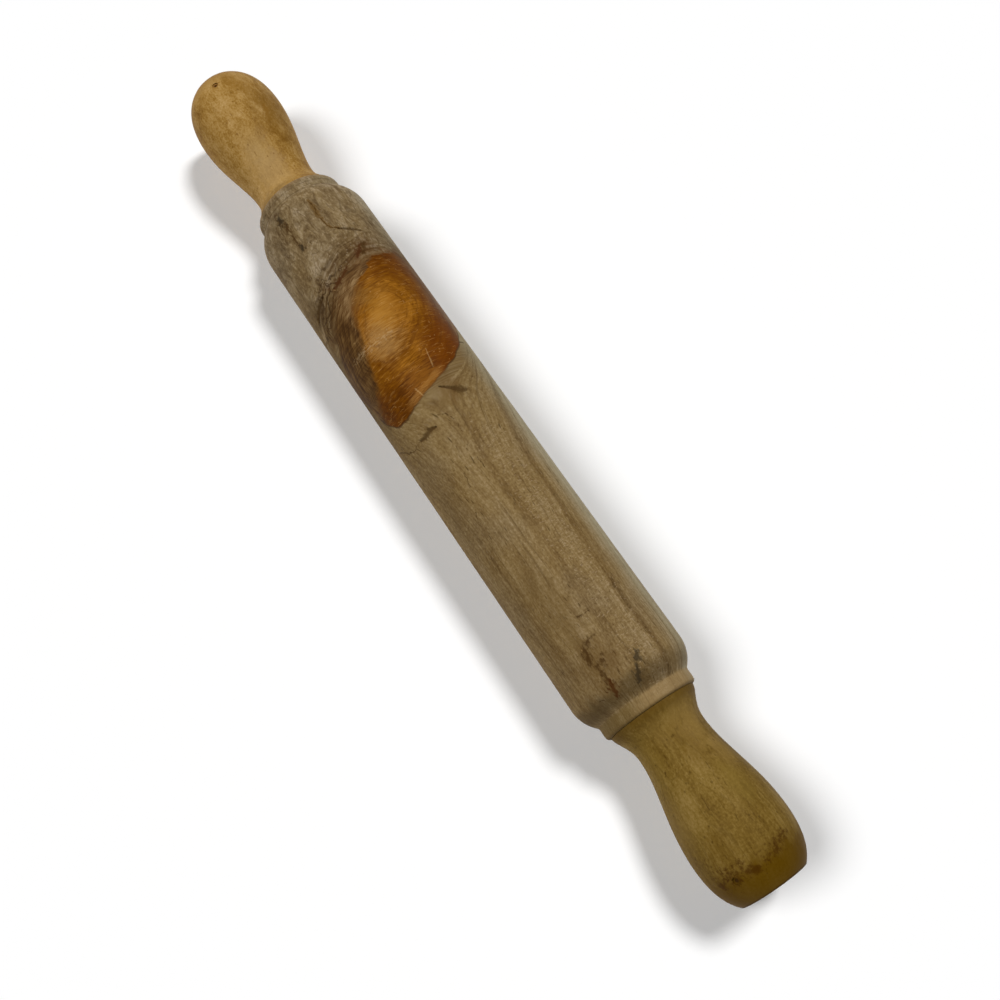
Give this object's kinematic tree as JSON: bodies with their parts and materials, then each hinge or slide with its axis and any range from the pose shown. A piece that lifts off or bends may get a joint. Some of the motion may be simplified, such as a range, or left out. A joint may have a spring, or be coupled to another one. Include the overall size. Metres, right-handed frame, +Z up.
{
  "type": "wooden rolling pin",
  "caption": "Wooden rolling pin: turned barrel with collared ends, free to spin on a steel axle between pinned bulb-shaped handles with flat ends.",
  "frame": {"origin": "on the surface that the pin lies on, straight below the middle of the barrel", "axes": "+X along the axle towards the right handle, +Y away from the cook, +Z up"},
  "size_m": [0.3956, 0.048, 0.048],
  "materials": {
    "barrel_wood": "worn bare grey-brown hardwood with an amber knot, dry and satin",
    "right_handle_wood": "hand-polished olive-honey close-grained wood, satin",
    "left_handle_wood": "hand-polished honey close-grained wood with fine flecks, satin",
    "axle_steel": "drawn bright steel",
    "bushing_brass": "turned brass, dulled",
    "brad_steel": "darkened steel"
  },
  "bodies": {
    "spindle": {"axle_rod": "axle_steel", "right_handle": "right_handle_wood", "left_handle": "left_handle_wood", "right_handle_brad": "brad_steel", "left_handle_brad": "brad_steel", "right_washer": "axle_steel", "left_washer": "axle_steel"},
    "barrel": {"barrel": "barrel_wood", "right_bushing": "bushing_brass", "left_bushing": "bushing_brass"}
  },
  "joints": [
    {"name": "barrel_spin", "type": "hinge", "parent": "spindle", "child": "barrel", "pos_m": [0, 0, 0.024], "axis": [1, 0, 0], "continuous": true}
  ]
}
